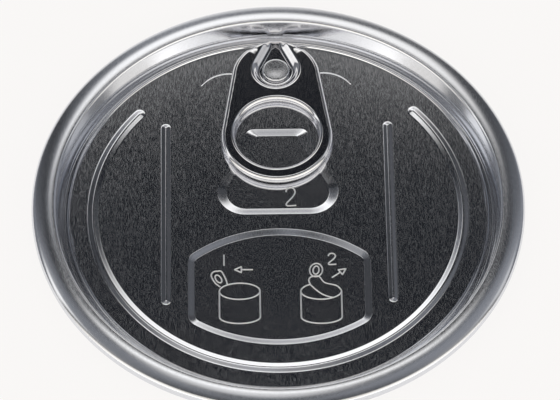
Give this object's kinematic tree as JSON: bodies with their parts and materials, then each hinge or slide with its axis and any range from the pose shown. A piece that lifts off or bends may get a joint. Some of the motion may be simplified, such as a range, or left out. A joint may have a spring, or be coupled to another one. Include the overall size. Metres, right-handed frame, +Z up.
{
  "type": "easy open can end",
  "caption": "Round full-aperture easy-open can end of drawn sheet with a seaming curl, beaded centre panel and a riveted ring pull tab that lifts at its nose.",
  "frame": {"origin": "on the rim's axis, level with the underside of the countersink that the end rests on", "axes": "+Z up out of the public side, +Y towards the nose of the tab, +X to the right seen from the ring"},
  "size_m": [0.093, 0.093, 0.0054],
  "materials": {
    "shell_sheet": "rolled, lacquered satin",
    "tab_sheet": "smooth, bright",
    "lining": "matte"
  },
  "bodies": {
    "end": {"end_shell": "shell_sheet", "sealing_compound": "lining", "tab_tongue": "tab_sheet"},
    "tab": {"pull_tab": "tab_sheet"}
  },
  "joints": [
    {"name": "tab_lift", "type": "hinge", "parent": "end", "child": "tab", "pos_m": [0, 0.03946, 0.0018], "axis": [-1, 0, 0], "range_deg": [0, 90]}
  ]
}
